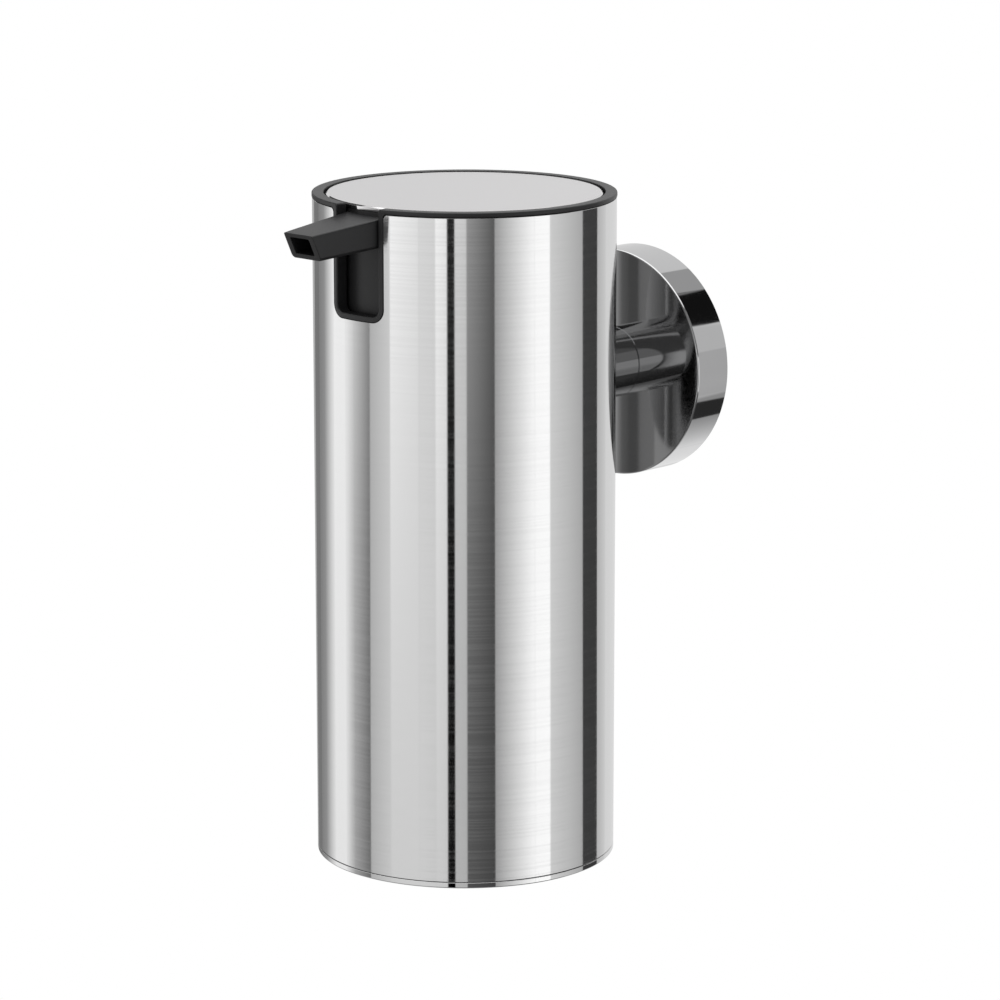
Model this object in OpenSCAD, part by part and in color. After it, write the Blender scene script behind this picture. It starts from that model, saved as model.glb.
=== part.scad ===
// Wall mounted soap dispenser. A steel shell hangs on a round wall rosette. A refill bottle hangs in
// the shell from a black trim insert, with a press-down pump head whose spout slides in a slot.
// Frame: origin at the middle of the wall plate's back face, +Z up, +Y into the wall, spout towards -Y.
// Heights inside the body are counted from the top of the trim ring, at body height 0. Millimetres.

/* [Body] */
// Outer diameter of the steel shell
body_d = 70; // [69:0.5:71]
// Height from the base to the top of the trim ring
body_h = 156.3; // [154.3:0.5:166.3]
// Wall thickness of the steel shell
shell_t = 0.8; // [0.6:0.1:0.9]
// Height of the base cap's edge below the seam
base_edge = 1.35; // [1.2:0.05:1.8]

/* [Trim and slot] */
// Width of the trim ring's top face
ring_w = 2.7; // [2.7:0.1:2.9]
// Height of the trim ring above the shell's rim
ring_h = 1.05; // [0.9:0.05:1.3]
// Clear width of the slot that the spout slides in
slot_w = 13.4; // [13.2:0.1:14]
// Depth of the slot below the top of the trim ring
slot_depth = 24.6; // [24.6:0.1:25]
// Width of the frame round the slot
frame_w = 1.25; // [1.1:0.05:1.5]
// Radius of the frame's outer corners
frame_corner = 3.2; // [2.8:0.1:3.4]

/* [Pump head] */
// Travel of the pump head when it is pressed
press_travel = 14; // [12:0.5:14]
// Gap between the steel disc and the trim ring
disc_gap = 0.55; // [0.4:0.05:0.7]
// Height of the steel disc's rim
disc_rim = 1.1; // [1:0.05:1.2]

/* [Spout] */
// From the body's axis to the spout's upper tip edge
spout_reach = 52.8; // [50:0.2:56]
// Width of the spout at its tip
tip_w = 9.3; // [9:0.1:10]
// Width of the spout where it leaves the slot
root_w = 12.6; // [12.4:0.1:12.8]
// Height of the spout at its tip
tip_h = 5.95; // [5.8:0.05:6.2]
// Height of the spout where it leaves the slot
root_h = 6.65; // [6.6:0.05:6.8]
// How far the tip's lower edge is set back from its upper edge
tip_rake = 2.8; // [2.4:0.1:3.2]

/* [Wall mount] */
// Diameter of the rosette
rosette_d = 54.7; // [54.5:0.1:56]
// Depth of the rosette from the wall
rosette_t = 10.8; // [10.6:0.1:11.4]
// Diameter of the neck
neck_d = 17; // [16:0.2:19]
// From the body's axis to the wall
axis_to_wall = 61.7; // [61.3:0.1:63]
// From the top of the trim ring down to the rosette's centre
mount_drop = 46.7; // [46.7:0.1:49]
// Distance between the two wall screw holes
hole_pitch = 28; // [27:0.5:29]
// Diameter of each wall screw hole
hole_d = 4.8; // [4.4:0.1:5]

/* [Hidden] */
$fn = 96;
arc_steps = 6;
slack = 0.05;                               // left between pieces that stay still on each other
cut = 1;                                    // how far a cutting shape runs past a face
front_in = 8;                               // the slot's shapes start this far inside the body's front
front_len = 14;
body_r = body_d / 2;
shell_ri = body_r - shell_t;
shell_top = -ring_h - 0.15;                  // a fine shadow gap under the ring
seam = 0.12;
shell_foot = -body_h + base_edge + seam;

// Trim insert: ring, sleeve and the frame round the slot
trim_r = body_r + 0.1;                      // stands just proud of the steel
well_r = trim_r - ring_w;
sleeve_r = shell_ri - 0.3;
ring_round = 0.35;
ring_chamfer = 0.15;
frame_half = slot_w / 2 + frame_w;
frame_foot = -slot_depth - frame_w;
frame_fit = 0.1;                            // shell's cut-out to frame
rim_corner = 1.05;                          // rounding where the ring turns down into the frame

// Pump head
disc_r = well_r - disc_gap;
disc_top = -0.15;
disc_t = 0.5;
disc_bevel = 0.25;
skirt_r = disc_r - 0.15;
skirt_t = 1.5;
skirt_ri = skirt_r - skirt_t;
skirt_foot = -slot_depth - 1;               // stays behind the whole slot
skirt_top = disc_top - disc_rim - slack;
plate_t = 1.95;
plate_foot = disc_top - disc_t - slack - plate_t;
hub_r = 6;
hub_foot = -21.5;
rib_t = 1.2;
rib_foot = -9;
stem_seat = -9.4;
outlet_z = -6.3;                            // axis of the outlet tube
outlet_bore = 1.8;
tongue = [11.2, 4, 6.2];                    // spout's tongue through the skirt
tongue_mid = -5.9;
channel_foot = -8.4;

// Trim insert's floor and hub, the pump's flange, its gasket and the bottle's lip, one under the other
floor_t = 1.2;
floor_top = skirt_foot - press_travel - 0.6;
flange_top = floor_top - floor_t;
flange_t = 1.4;
gasket_t = 0.8;
lip_z = flange_top - flange_t - gasket_t - slack;
seal_foot = floor_top - 0.8;
collar_ri = 8.3;
collar_r = 9.8;
collar_top = floor_top + 1.8;
nut_r = 11.6;
nut_top = floor_top + 3.8;
hub_len = 11;
hub_ri = 16.6;
hub_ro = hub_ri + 1.8;

// Refill bottle
mouth_r = 13.4;
bottle_neck_r = 15.4;
bottle_r = 29.6;
bottle_t = 1.2;
shoulder_z = flange_top - hub_len - 3.1;
bottle_foot = -body_h + base_edge + 0.55;
punt = 1.5;                                 // how far the bottle's floor is raised

// Pump
stem_r = 3.5;
stem_bore = 1.8;
cyl_r = 6.5;
cyl_t = 1.5;
piston_top = seal_foot - 1;
piston_h = 8;
stem_foot = piston_top - piston_h;
seat_flange = 1.5;
spring_rest = 26;
cyl_foot = stem_foot - seat_flange - spring_rest;
ball_r = 2.5;
ball_z = cyl_foot - 4;
socket_top = ball_z - 3.5;
socket_h = 7.5;
dip_r = 2.7;
dip_bore = 1.9;
dip_foot = bottle_foot + punt + bottle_t + 0.9;
outlet_ball_r = 2;
cage_r = outlet_ball_r + 0.4;
seat_top = stem_foot + 5;
outlet_ball_z = seat_top + 0.9;
wire_r = 0.45;
coil_r = 4.9;
coil_turns = 8;

// Wall mount
plate_r = 23.4;
plate_depth = 6.8;
rosette_r = rosette_d / 2;
rosette_ri = rosette_r - 2;
face_t = 1.8;
face_back = rosette_t - face_t;
grub_h = 4.6;                               // grub screw's axis, from the wall
grub_r = 2;
m5_r = 2.45;
m5_clear = 2.6;
m5_thread = 2.5;
neck_len = axis_to_wall - body_r - rosette_t;
washer_t = 0.8;

// Points of an arc round [cx, cy] from angle a0 to angle a1
function arc(cx, cy, r, a0, a1) =
    [for (i = [0:arc_steps]) let (a = a0 + (a1 - a0) * i / arc_steps) [cx + r * cos(a), cy + r * sin(a)]];

// From the body's own frame (axis at the origin, ring top at height 0) to the part's frame
module in_body() translate([0, -axis_to_wall, mount_drop]) children();

// A shape on the rosette's axis, whose height grows from the wall outwards
module on_wall() rotate([90, 0, 0]) children();

// A tube from height z0 up to z1
module tube(ro, ri, z0, z1) translate([0, 0, z0]) difference() {
    cylinder(r = ro, h = z1 - z0);
    translate([0, 0, -cut]) cylinder(r = ri, h = z1 - z0 + 2 * cut);
}

// A U of half width w, open at the top, with lower corners of radius c
module u_outline(w, foot, top, c) {
    translate([-w, foot + c]) square([2 * w, top - foot - c]);
    translate([-w + c, foot]) square([2 * (w - c), c + 0.5]);
    for (s = [-1, 1]) translate([s * (w - c), foot + c]) circle(r = c);
}

// A flat shape, given as [x, height], carried through the front of the body
module through_front() translate([0, -body_r + front_in, 0]) rotate([90, 0, 0]) linear_extrude(front_len)
    children();

// The corner piece that widens the U in a round at the shell's rim
module rim_flare(grow) translate([frame_half + grow, shell_top - rim_corner]) difference() {
    translate([-0.01, 0]) square([rim_corner + 0.01, rim_corner + 1]);
    translate([rim_corner, 0]) circle(r = rim_corner);
}

// What the frame fills, and with grow its cut-out in the shell: a U through the front of the body
module frame_block(grow) through_front() {
    u_outline(frame_half + grow, frame_foot - grow, 1, frame_corner + grow);
    rim_flare(grow);
    mirror([1, 0]) rim_flare(grow);
}

/* ---------- Wall mount ---------- */

// Die-cast plate with a grooved rim for the grub screw and two screw holes
module wall_plate() color("darkgray") on_wall() {
    rim_ri = 19.5;
    lip_r = plate_r - 0.8;
    groove_r = plate_r - 2.2;
    plate_t = 2.6;
    difference() {
        rotate_extrude() polygon([[0, 0], [plate_r, 0], [plate_r, 2], [lip_r, plate_t], [lip_r, 3.2],
            [groove_r, grub_h], [lip_r, 6], [lip_r, plate_depth], [rim_ri, plate_depth],
            [rim_ri, plate_t], [0, plate_t]]);
        for (s = [-1, 1]) translate([s * hole_pitch / 2, 0, -cut])
            cylinder(d = hole_d, h = plate_t + 2 * cut);
    }
}

// Polished cup over the plate, with a threaded boss for the grub screw
module rosette() color("gainsboro") on_wall() {
    edge = 0.4;
    rim_foot = 0.3;
    boss_top = plate_r + 0.1;
    boss_w = 8;
    boss_d = 6.4;
    difference() {
        union() {
            rotate_extrude() polygon(concat(
                [[m5_clear, face_back], [rosette_ri, face_back], [rosette_ri, rim_foot]],
                [[rosette_r - edge, rim_foot], [rosette_r, rim_foot + edge]],
                arc(rosette_r - edge, rosette_t - edge, edge, 0, 90), [[m5_clear, rosette_t]]));
            translate([-boss_w / 2, -rosette_ri - 0.6, grub_h - boss_d / 2])
                cube([boss_w, rosette_ri + 0.6 - boss_top, boss_d]);
        }
        translate([0, 0, grub_h]) rotate([90, 0, 0]) cylinder(r = grub_r, h = rosette_r + cut);
    }
}

// Socket set screw that locks the rosette on the plate
module grub_screw() color("dimgray") translate([0, -grub_h, -rosette_r + 0.4]) {
    threaded = 3.75;
    cone = 1.2;
    tip_r = 0.7;
    socket = 2.3;
    difference() {
        union() {
            cylinder(r = grub_r - slack, h = threaded);
            translate([0, 0, threaded]) cylinder(r1 = grub_r - slack, r2 = tip_r, h = cone);
        }
        translate([0, 0, -cut]) cylinder(d = socket, h = cut + 2, $fn = 6);
    }
}

// Round-headed socket screw along +Z, with its head's top at height 0
module button_screw(head_r, head_h, shank, across) {
    dome = 1.2;
    tip = 0.6;
    difference() {
        rotate_extrude() polygon(concat([[0, 0]], arc(head_r - dome, dome, dome, -90, 0),
            [[head_r, head_h], [m5_r, head_h], [m5_r, head_h + shank - tip],
             [m5_r - tip, head_h + shank], [0, head_h + shank]]));
        translate([0, 0, -cut]) cylinder(d = across, h = cut + 1.5, $fn = 6);
    }
}

// Screw from inside the rosette into the neck
module rosette_screw() color("silver") on_wall() translate([0, 0, face_back - washer_t - slack - 2.6])
    button_screw(4.4, 2.6, 9.4, 3.4);

// Split lock washer under that screw's head
module lock_washer() color("silver") on_wall() difference() {
    tube(4.6, m5_clear, face_back - washer_t - slack / 2, face_back - slack / 2);
    translate([2, -0.3, face_back - 2]) cube([4, 0.6, 3]);
}

// Round bar between rosette and shell, its front end cut to the shell's curve
module neck() color("gainsboro") {
    chamfer = 0.2;
    root = rosette_t + slack;
    front = axis_to_wall - body_r + 4;
    thread = neck_len / 2 - 0.8;
    difference() {
        on_wall() difference() {
            rotate_extrude() polygon([[0, root], [neck_d / 2 - chamfer, root],
                [neck_d / 2, root + chamfer], [neck_d / 2, front], [0, front]]);
            translate([0, 0, rosette_t - cut]) cylinder(r = m5_thread, h = thread + cut);
            translate([0, 0, rosette_t + neck_len - thread]) cylinder(r = m5_thread, h = thread + 6);
        }
        translate([0, -axis_to_wall, -neck_d]) cylinder(r = body_r + slack, h = 2 * neck_d);
    }
}

/* ---------- Body ---------- */

// Brushed steel tube, open at the rim, with the frame's cut-out and the neck screw's hole
module shell() color("silver") in_body() difference() {
    tube(body_r, shell_ri, shell_foot, shell_top);
    frame_block(frame_fit);
    translate([0, body_r - 4, -mount_drop]) rotate([-90, 0, 0]) cylinder(r = m5_clear, h = 8);
}

// Curved washer inside the shell, flat on the side of the screw's head
module saddle_washer() color("silver") in_body() {
    half_h = 4.6;
    seat = 1.6;
    difference() {
        intersection() {
            translate([0, 0, -mount_drop - half_h]) cylinder(r = shell_ri - slack, h = 2 * half_h);
            translate([-6, shell_ri - seat, -mount_drop - half_h]) cube([12, 2 * seat, 2 * half_h]);
        }
        translate([0, shell_ri - 3, -mount_drop]) rotate([-90, 0, 0]) cylinder(r = m5_clear, h = 6);
    }
}

// Screw from inside the shell into the neck
module shell_screw() color("silver") in_body() translate([0, shell_ri - 1.65 - 2.1, -mount_drop])
    rotate([-90, 0, 0]) button_screw(4.5, 2.1, 8.9, 3.2);

// Pressed base with a spigot inside the shell and a shallow recess underneath
module base_cap() color("silver") in_body() translate([0, 0, -body_h]) {
    spigot_r = shell_ri - slack;
    spigot_t = 1.15;
    spigot_top = base_edge + 4;
    edge = 0.3;
    rotate_extrude() polygon(concat([[0, 0.5], [body_r - 5.5, 0.5], [body_r - 5, 0]],
        arc(body_r - edge, edge, edge, -90, 0), [[body_r, base_edge], [spigot_r, base_edge],
        [spigot_r, spigot_top - 0.4], [spigot_r - 0.3, spigot_top], [spigot_r - spigot_t, spigot_top],
        [spigot_r - spigot_t, base_edge], [0, base_edge]]));
}

/* ---------- Refill bottle ---------- */

// Blown bottle with a round shoulder, a raised floor and ridges that the trim insert screws on to
module bottle() color("whitesmoke") in_body() {
    inner_foot = bottle_foot + bottle_t;
    shoulder_r = 8;
    heel_r = 4;
    neck_fillet = 2;
    ring_r = 22;                            // the flat ring it stands on ends here
    dish_r = 20;
    mouth_fillet = 1.6;
    outer = concat([[bottle_neck_r, lip_z]],
        arc(bottle_neck_r + neck_fillet, shoulder_z + neck_fillet, neck_fillet, 180, 270),
        arc(bottle_r - shoulder_r, shoulder_z - shoulder_r, shoulder_r, 90, 0),
        arc(bottle_r - heel_r, bottle_foot + heel_r, heel_r, 0, -90),
        [[ring_r, bottle_foot], [dish_r, bottle_foot + punt], [0, bottle_foot + punt]]);
    inner = concat([[0, inner_foot + punt], [dish_r + 0.7, inner_foot + punt], [ring_r + 0.7, inner_foot]],
        arc(bottle_r - heel_r, bottle_foot + heel_r, heel_r - bottle_t, -90, 0),
        arc(bottle_r - shoulder_r, shoulder_z - shoulder_r, shoulder_r - bottle_t, 0, 90),
        arc(mouth_r + mouth_fillet, shoulder_z + 0.4, mouth_fillet, 270, 180), [[mouth_r, lip_z]]);
    rotate_extrude() polygon(concat(outer, inner));
    for (i = [0:2]) translate([0, 0, lip_z - 2.4 - 2.6 * i]) rotate_extrude() polygon([
        [bottle_neck_r - 0.3, -0.9], [bottle_neck_r + 0.9, -0.25],
        [bottle_neck_r + 0.9, 0.25], [bottle_neck_r - 0.3, 0.9]]);
}

/* ---------- Pump, which lifts off the bottle ---------- */

// Black moulding: ring, sleeve, slot frame, well floor and the ribbed hub that takes the bottle's neck
module trim_insert() color("#262626") in_body() difference() {
    union() {
        rotate_extrude() polygon(concat(
            [[well_r, floor_top], [well_r, -ring_chamfer], [well_r + ring_chamfer, 0]],
            arc(trim_r - ring_round, -ring_round, ring_round, 90, 0),
            [[trim_r, -ring_h], [sleeve_r, -ring_h], [sleeve_r, flange_top + 1], [sleeve_r - 1, flange_top],
             [hub_ro, flange_top], [hub_ro, flange_top - hub_len], [hub_ri, flange_top - hub_len],
             [hub_ri, flange_top], [collar_r + 0.4, flange_top], [collar_r + 0.4, floor_top]]));
        intersection() {
            tube(trim_r, well_r, frame_foot, -ring_h + 0.01);
            frame_block(0);
        }
        for (i = [0:23]) rotate([0, 0, i * 15])
            translate([hub_ro - 0.3, -0.5, flange_top - hub_len]) cube([0.7, 1, hub_len - 2]);
    }
    through_front() u_outline(slot_w / 2, -slot_depth, 2, frame_corner - frame_w);
}

// Pump cylinder with its collar, flange, ball chamber and socket for the dip tube
module pump_housing() color("whitesmoke") in_body() {
    flange_r = 15.2;
    outer_r = cyl_r + cyl_t;
    tail_r = 4.2;
    inlet_r = 1.6;
    cage = ball_r + 0.5;
    socket_foot = socket_top - socket_h;
    rotate_extrude() polygon([
        [collar_ri, seal_foot], [collar_ri, collar_top], [collar_r, collar_top],
        [collar_r, flange_top - slack], [flange_r, flange_top - slack],
        [flange_r, flange_top - flange_t], [outer_r, flange_top - flange_t],
        [outer_r, cyl_foot - 1], [tail_r, cyl_foot - 5],
        [tail_r, socket_foot + 0.4], [tail_r - 0.4, socket_foot],
        [dip_r + slack, socket_foot], [dip_r + slack, socket_top], [inlet_r, socket_top],
        [inlet_r, ball_z - 2], [cage, ball_z - 2 + cage - inlet_r],
        [cage, ball_z + 3.1], [cage - 0.7, ball_z + 3.4],
        [cage - 0.7, cyl_foot], [cyl_r, cyl_foot], [cyl_r, seal_foot]]);
}

// Seal between the housing's flange and the bottle's lip
module neck_gasket() color("dimgray") in_body()
    tube(bottle_neck_r - 0.2, mouth_r - 0.8, lip_z + slack / 2, lip_z + gasket_t);

// Wiper ring round the stem, in the collar
module stem_seal() color("dimgray") in_body()
    tube(collar_ri - 0.1, stem_r + slack, seal_foot + slack, floor_top + 0.6);

// Ribbed nut that clamps the housing to the insert's floor and keeps the stem in
module retainer_nut() color("whitesmoke") in_body() {
    foot = floor_top + slack;
    rotate_extrude() polygon([[stem_r + 0.1, nut_top], [stem_r + 0.1, collar_top + slack],
        [collar_r + 0.1, collar_top + slack], [collar_r + 0.1, foot], [nut_r, foot],
        [nut_r, nut_top - 0.6], [nut_r - 0.6, nut_top]]);
    for (i = [0:17]) rotate([0, 0, i * 20])
        translate([nut_r - 0.3, -0.5, foot]) cube([0.9, 1, nut_top - floor_top - 1.2]);
}

// Suction tube down to the bottle's floor, its end cut aslant
module dip_tube() color("whitesmoke") in_body() difference() {
    tube(dip_r, dip_bore, dip_foot, socket_top - 0.1);
    translate([0, 0, dip_foot]) rotate([30, 0, 0]) translate([-5, -8, -5]) cube([10, 16, 5]);
}

// Check ball of the inlet valve
module inlet_ball() color("silver") in_body() translate([0, 0, ball_z]) sphere(r = ball_r);

/* ---------- Pump head, which presses down ---------- */

// Satin steel disc with a turned-down rim
module top_disc() color("gainsboro") in_body() {
    turn_ri = disc_r - 0.5;
    rotate_extrude() polygon([[0, disc_top - disc_t], [turn_ri, disc_top - disc_t],
        [turn_ri, disc_top - disc_rim], [disc_r, disc_top - disc_rim], [disc_r, disc_top - disc_bevel],
        [disc_r - disc_bevel, disc_top], [0, disc_top]]);
}

// Black head: top plate, skirt behind the slot, hub on the stem and stiffening ribs
module pump_head() color("#262626") in_body() difference() {
    union() {
        translate([0, 0, plate_foot]) cylinder(r = disc_r - 0.6, h = plate_t);
        tube(skirt_r, skirt_ri, skirt_foot, skirt_top);
        translate([0, 0, hub_foot]) cylinder(r = hub_r, h = plate_foot + 0.5 - hub_foot);
        for (a = [30, 90, 150, 210, 330]) rotate([0, 0, a]) translate([hub_r - 0.5, -rib_t / 2, rib_foot])
            cube([skirt_ri - hub_r + 0.8, rib_t, plate_foot + 0.5 - rib_foot]);
    }
    translate([0, 0, hub_foot - cut]) cylinder(r = stem_r + slack, h = stem_seat - hub_foot + cut);
    translate([0, 0, stem_seat - cut]) cylinder(r = outlet_bore, h = outlet_z - stem_seat + cut);
    translate([0, 0, outlet_z]) rotate([90, 0, 0]) cylinder(r = outlet_bore, h = hub_r + cut);
    translate([-tongue[0] / 2 - 0.1, -body_r, tongue_mid - tongue[2] / 2 - 0.1])
        cube([tongue[0] + 0.2, 9, tongue[2] + 0.2]);
}

// Centres of the spheres of radius e at the spout's eight corners, its root ones inside the head's skirt
function spout_corners(e) = let (
        at_root = 34.4,
        root_y = skirt_ri - 2.2,
        root_top = -2.43,
        top_slope = 0.1,
        foot_slope = 0.07,
        top_at = function (y) root_top - top_slope * (y - at_root),
        half_at = function (y) root_w / 2 + (tip_w - root_w) / 2 * (y - at_root) / (spout_reach - at_root),
        tip_top = top_at(spout_reach),
        root_foot = root_top - root_h + foot_slope * (at_root - root_y))
    [for (s = [-1, 1]) each [
        [s * (half_at(spout_reach) - e), -spout_reach + e, tip_top - e],
        [s * (half_at(spout_reach) - e), -spout_reach + tip_rake + e, tip_top - tip_h + e],
        [s * (half_at(root_y) - e), -root_y, top_at(root_y) - e],
        [s * (half_at(root_y) - e), -root_y, root_foot + e]]];

// Channel through the spout, from inside the skirt out past the tip
module spout_channel() {
    root = [8.4, 1, 5.2];
    mouth = [5.9, 1, 4.3];
    hull() {
        translate([-root[0] / 2, -skirt_r - 2.3, channel_foot]) cube(root);
        translate([-mouth[0] / 2, -spout_reach - 2, channel_foot - 1]) cube(mouth);
    }
}

// Tapered rectangular spout with a hollow tongue and two barbs that snap into the head's skirt
module spout() color("#262626") in_body() {
    edge = 0.5;
    barb = 0.9;
    tongue_foot = tongue_mid - tongue[2] / 2;
    difference() {
        union() {
            difference() {
                hull() for (p = spout_corners(edge)) translate(p) sphere(r = edge, $fn = 24);
                translate([0, 0, skirt_foot]) cylinder(r = skirt_r + slack, h = -skirt_foot + cut);
            }
            translate([-tongue[0] / 2, -skirt_r, tongue_foot]) cube(tongue);
            for (s = [0, 1]) mirror([s, 0, 0])
                translate([tongue[0] / 2 - 0.1, -skirt_ri, tongue_foot + cut])
                    linear_extrude(4) polygon([[0, 2.5], [barb, 1.2], [0, 1.2]]);
        }
        spout_channel();
        translate([-4.5, -skirt_r - 1.8, channel_foot]) cube([9, 8, 5]);
    }
}

// Soft tube that carries the soap from the hub to just inside the tip
module outlet_tube() color("dimgray") in_body() translate([0, -2.5, outlet_z]) rotate([90, 0, 0])
    tube(outlet_bore - slack, 1.15, 0, 43);

// Hollow stem with a wider ball chamber at its foot
module stem() color("whitesmoke") in_body() difference() {
    translate([0, 0, stem_foot]) cylinder(r = stem_r, h = stem_seat - stem_foot - slack);
    translate([0, 0, stem_foot - cut]) cylinder(r = stem_bore, h = stem_seat - stem_foot + 2 * cut);
    translate([0, 0, stem_foot - cut]) cylinder(r = cage_r, h = 12 + cut);
}

// Piston with a sealing lip at each end
module piston() color("aliceblue") in_body() {
    bore = stem_r + slack;
    lip_r = cyl_r - slack;
    core_r = 5.2;
    foot = stem_foot + slack;
    rotate_extrude() polygon([[bore, foot], [core_r, foot], [lip_r, foot + 0.6], [lip_r, foot + 1.6],
        [core_r, foot + 2.4], [core_r, piston_top - 2.4], [lip_r, piston_top - 1.6],
        [lip_r, piston_top - 0.6], [core_r, piston_top], [bore, piston_top]]);
}

// Drilled plug in the stem's foot: seat of the outlet ball, and the flange that the spring pushes on
module valve_seat() color("whitesmoke") in_body() {
    bore = 1.2;
    cone = 0.8;
    foot = stem_foot - seat_flange;
    plug_r = cage_r - slack;
    flange_r = 5.6;
    rotate_extrude() polygon([[bore, foot], [flange_r, foot], [flange_r, stem_foot - slack],
        [plug_r, stem_foot - slack], [plug_r, seat_top], [bore + cone, seat_top], [bore, seat_top - cone]]);
}

// Check ball of the outlet valve
module outlet_ball() color("silver") in_body() translate([0, 0, outlet_ball_z]) sphere(r = outlet_ball_r);

// Height of the spring's wire above its lowest place, after the share t of its turns, with closed ends
function coil_z(t) = let (
        n = t * coil_turns,
        flat = 0.9,
        lead = 2 * wire_r,
        span = spring_rest - 2 * slack - 2 * wire_r)
    n < flat ? n / flat * lead
    : n > coil_turns - flat ? span - (coil_turns - n) / flat * lead
    : lead + (n - flat) / (coil_turns - 2 * flat) * (span - 2 * lead);

// Steel return spring between the cylinder's floor and the valve seat
module return_spring() color("silver") in_body() {
    sides = 8;
    rings = coil_turns * 20;
    points = [for (i = [0:rings]) let (t = i / rings, a = t * coil_turns * 360)
        for (j = [0:sides - 1]) let (b = j * 360 / sides, r = coil_r + wire_r * cos(b))
            [r * cos(a), r * sin(a), cyl_foot + slack + wire_r + coil_z(t) + wire_r * sin(b)]];
    walls = [for (i = [0:rings - 1]) for (j = [0:sides - 1]) let (k = (j + 1) % sides)
        [i * sides + j, (i + 1) * sides + j, (i + 1) * sides + k, i * sides + k]];
    first = [for (j = [0:sides - 1]) j];
    last = [for (j = [sides - 1:-1:0]) rings * sides + j];
    polyhedron(points, concat(walls, [first], [last]), convexity = 10);
}

wall_plate();
rosette();
grub_screw();
rosette_screw();
lock_washer();
neck();
shell();
saddle_washer();
shell_screw();
base_cap();
bottle();
trim_insert();
pump_housing();
neck_gasket();
stem_seal();
retainer_nut();
dip_tube();
inlet_ball();
top_disc();
pump_head();
spout();
outlet_tube();
stem();
piston();
valve_seat();
outlet_ball();
return_spring();
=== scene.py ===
"""Wall mounted soap dispenser: detailed meshes, materials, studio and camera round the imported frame."""
import math

import bmesh
import bpy
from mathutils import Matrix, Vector


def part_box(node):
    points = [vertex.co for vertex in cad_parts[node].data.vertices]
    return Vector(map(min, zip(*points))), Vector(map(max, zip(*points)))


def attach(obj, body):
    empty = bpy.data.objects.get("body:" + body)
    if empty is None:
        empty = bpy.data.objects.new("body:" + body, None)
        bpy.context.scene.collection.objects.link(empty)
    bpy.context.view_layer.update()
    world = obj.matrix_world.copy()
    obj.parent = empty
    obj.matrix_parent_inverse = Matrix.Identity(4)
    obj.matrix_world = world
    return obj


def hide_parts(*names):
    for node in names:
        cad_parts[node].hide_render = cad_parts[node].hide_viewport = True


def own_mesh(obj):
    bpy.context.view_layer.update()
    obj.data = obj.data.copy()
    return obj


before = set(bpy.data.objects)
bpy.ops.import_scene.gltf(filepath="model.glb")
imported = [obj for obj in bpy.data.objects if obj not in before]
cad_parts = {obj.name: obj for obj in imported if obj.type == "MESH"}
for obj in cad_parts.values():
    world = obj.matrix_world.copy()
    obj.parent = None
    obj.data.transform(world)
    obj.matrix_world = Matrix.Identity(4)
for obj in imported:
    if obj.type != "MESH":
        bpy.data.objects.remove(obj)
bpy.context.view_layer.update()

# ---------------------------------------------------------------- sizes, in millimetres
MM = 0.001
SHELL_LO, SHELL_HI = (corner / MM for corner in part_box("shell"))
INSERT_LO, INSERT_HI = (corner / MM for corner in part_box("trim_insert"))
DISC_LO, DISC_HI = (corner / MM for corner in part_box("top_disc"))
ROSETTE_LO, ROSETTE_HI = (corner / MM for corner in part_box("rosette"))
PLATE_LO, PLATE_HI = (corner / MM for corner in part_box("wall_plate"))
NECK_LO, NECK_HI = (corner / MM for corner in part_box("neck"))
BASE_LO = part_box("base_cap")[0] / MM
SPOUT_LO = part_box("spout")[0] / MM
BOTTLE_LO, BOTTLE_HI = (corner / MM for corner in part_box("bottle"))
HOUSING_LO, HOUSING_HI = (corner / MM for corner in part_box("pump_housing"))
DIP_LO, DIP_HI = (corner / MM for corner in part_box("dip_tube"))

AXIS_Y = (SHELL_LO.y + SHELL_HI.y) / 2          # the body's axis; heights below count from TOP_Z
TOP_Z = INSERT_HI.z
BODY_R = (SHELL_HI.x - SHELL_LO.x) / 2
SHELL_T = 0.8
TRIM_R = (INSERT_HI.x - INSERT_LO.x) / 2
RING_W = 2.7
RING_H = 1.05
RING_ROUND = 0.35
WELL_R = TRIM_R - RING_W
SLEEVE_R = BODY_R - SHELL_T - 0.3
SLOT_HALF = 6.7
SLOT_FOOT = -24.6
FRAME_W = 1.25
FRAME_CORNER = 3.2
RIM_CORNER = 1.05
FRAME_FIT = 0.1
SHELL_TOP = SHELL_HI.z - TOP_Z
SHELL_FOOT = SHELL_LO.z - TOP_Z
BODY_H = TOP_Z - BASE_LO.z
BASE_EDGE = 1.35
DISC_R = (DISC_HI.x - DISC_LO.x) / 2
DISC_TOP = DISC_HI.z - TOP_Z
DISC_T = 0.5
DISC_RIM = 1.1
DISC_BEVEL = 0.4
SKIRT_R = DISC_R - 0.15
SKIRT_T = 1.5
SKIRT_FOOT = -25.6
FLOOR_TOP = -40.2
FLANGE_TOP = -41.4
HUB_RI = 16.6
HUB_RO = 18.4
HUB_LEN = 11
ROSETTE_R = (ROSETTE_HI.x - ROSETTE_LO.x) / 2
ROSETTE_T = -ROSETTE_LO.y
NECK_R = (NECK_HI.x - NECK_LO.x) / 2
PLATE_R = (PLATE_HI.x - PLATE_LO.x) / 2
SCREW_HOLE_R = 2.6                               # for the screws at either end of the neck
THROUGH_FRONT = (BODY_R - 8, BODY_R + 4)         # distances from the axis between which the slot is cut
MOUNT_DROP = TOP_Z                               # the rosette's centre is at height 0 of the frame
SPOUT_ROOT_Y = 31.4                              # inside the skirt's wall; distances from the body's axis
SPOUT_REF_Y = 34.4                               # where SPOUT_TOP, SPOUT_H and SPOUT_W hold
SPOUT_REACH = AXIS_Y - SPOUT_LO.y
SPOUT_TOP = -2.43
SPOUT_H = 6.65
SPOUT_W = 12.6
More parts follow.
